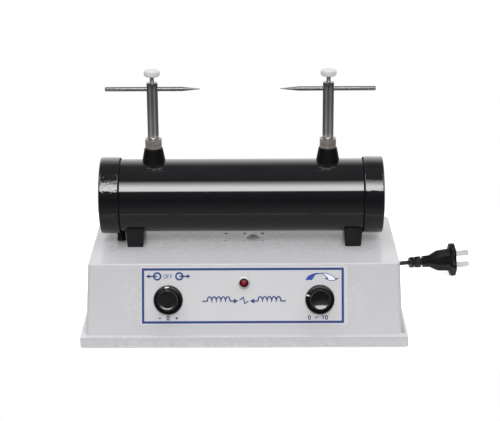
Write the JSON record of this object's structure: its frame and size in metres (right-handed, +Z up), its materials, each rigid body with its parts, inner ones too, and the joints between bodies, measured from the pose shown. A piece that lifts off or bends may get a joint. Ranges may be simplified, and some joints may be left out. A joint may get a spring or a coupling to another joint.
{
  "type": "induction coil",
  "caption": "Classroom induction coil: black high-voltage coil on a moulded base with knobs, and two posts holding pointed sliding discharge rods.",
  "frame": {"origin": "on the floor plane, under the centre of the base's rim", "axes": "+X to the right along the coil seen from the front, -Y to the front with the knobs, +Z up"},
  "size_m": [0.4174, 0.3085, 0.262],
  "materials": {
    "housing_plastic": "moulded light grey, glossy",
    "plate_steel": "black painted sheet",
    "foot_rubber": "matte",
    "screw_steel": "zinc plated",
    "label_film": "printed satin film",
    "bezel_chrome": "polished",
    "lens_red": "translucent red",
    "holder_plastic": "moulded",
    "control_metal": "plated",
    "nut_plating": "plated",
    "knob_plastic": "moulded black, glossy",
    "spindle_aluminium": "turned",
    "black_plastic": "moulded black",
    "coil_black": "glossy black",
    "cap_black": "glossy black, slightly uneven",
    "core_iron": "laminated",
    "copper_wire": "enamelled copper",
    "sleeve_plastic": "natural",
    "bobbin_plastic": "natural",
    "disc_plastic": "cut sheet",
    "lead_insulation": "satin",
    "insulator_black": "turned black",
    "post_nut_steel": "satin",
    "post_steel": "turned, satin",
    "rod_steel": "polished",
    "thumb_plastic": "translucent white",
    "stud_steel": "plated",
    "deck_screw_plating": "plated",
    "sleeve_rubber": "soft black",
    "board_laminate": "epoxy board",
    "spacer_nylon": "nylon",
    "capacitor_sleeve": "shrink sleeve",
    "device_epoxy": "moulded",
    "sink_aluminium": "bent sheet",
    "gland_rubber": "matte",
    "cord_pvc": "satin jacket",
    "plug_pvc": "satin moulding",
    "pin_plating": "nickel plated"
  },
  "bodies": {
    "base": {"housing": "housing_plastic", "bottom_plate": "plate_steel", "rubber_feet": "foot_rubber", "bottom_screws": "screw_steel", "panel_label": "label_film", "lamp_bezel": "bezel_chrome", "lamp_lens": "lens_red", "lamp_holder": "holder_plastic", "polarity_switch": "control_metal", "polarity_switch_nut": "nut_plating", "potentiometer": "control_metal", "potentiometer_nut": "nut_plating", "left_saddle": "black_plastic", "right_saddle": "black_plastic", "saddle_screws": "screw_steel", "coil_tube": "coil_black", "left_end_cap": "cap_black", "right_end_cap": "cap_black", "iron_core": "core_iron", "primary_winding": "copper_wire", "insulating_sleeve": "sleeve_plastic", "secondary_bobbin": "bobbin_plastic", "secondary_winding": "copper_wire", "coil_end_discs": "disc_plastic", "high_voltage_leads": "lead_insulation", "left_insulator": "insulator_black", "right_insulator": "insulator_black", "left_post_nut": "post_nut_steel", "right_post_nut": "post_nut_steel", "left_post": "post_steel", "right_post": "post_steel", "post_inner_nuts": "screw_steel", "deck_screw": "deck_screw_plating", "deck_screw_nut": "screw_steel", "lead_sleeve": "sleeve_rubber", "primary_leads": "lead_insulation", "circuit_board": "board_laminate", "board_spacers": "spacer_nylon", "board_screws": "screw_steel", "storage_capacitors": "capacitor_sleeve", "thyristor": "device_epoxy", "heat_sink": "sink_aluminium", "cord_gland": "gland_rubber", "cord_lead": "cord_pvc", "cord_coil": "cord_pvc", "cord_tail": "cord_pvc", "plug_body": "plug_pvc", "plug_pins": "pin_plating"},
    "polarity_knob": {"polarity_knob": "knob_plastic", "polarity_spindle": "spindle_aluminium"},
    "voltage_knob": {"voltage_knob": "knob_plastic", "voltage_spindle": "spindle_aluminium"},
    "left_rod": {"left_rod": "rod_steel"},
    "right_rod": {"right_rod": "rod_steel"},
    "left_thumbscrew": {"left_thumbscrew_head": "thumb_plastic", "left_thumbscrew_stud": "stud_steel"},
    "right_thumbscrew": {"right_thumbscrew_head": "thumb_plastic", "right_thumbscrew_stud": "stud_steel"}
  },
  "joints": [
    {"name": "polarity_turn", "type": "hinge", "parent": "base", "child": "polarity_knob", "pos_m": [-0.0762, -0.08417, 0.04886], "axis": [0, 0.9474, -0.32], "range_deg": [-30, 30]},
    {"name": "voltage_turn", "type": "hinge", "parent": "base", "child": "voltage_knob", "pos_m": [0.0762, -0.08417, 0.04886], "axis": [0, 0.9474, -0.32], "range_deg": [-79, 221]},
    {"name": "left_rod_slide", "type": "slide", "parent": "base", "child": "left_rod", "axis": [1, 0, 0], "range_m": [-0.024, 0.0395]},
    {"name": "right_rod_slide", "type": "slide", "parent": "base", "child": "right_rod", "axis": [-1, 0, 0], "range_m": [-0.024, 0.0395]},
    {"name": "left_clamp_turn", "type": "hinge", "parent": "base", "child": "left_thumbscrew", "pos_m": [-0.0928, 0.0103, 0.25], "axis": [0, 0, 1], "range_deg": [0, 720]},
    {"name": "right_clamp_turn", "type": "hinge", "parent": "base", "child": "right_thumbscrew", "pos_m": [0.0865, 0.0103, 0.25], "axis": [0, 0, 1], "range_deg": [0, 720]}
  ]
}
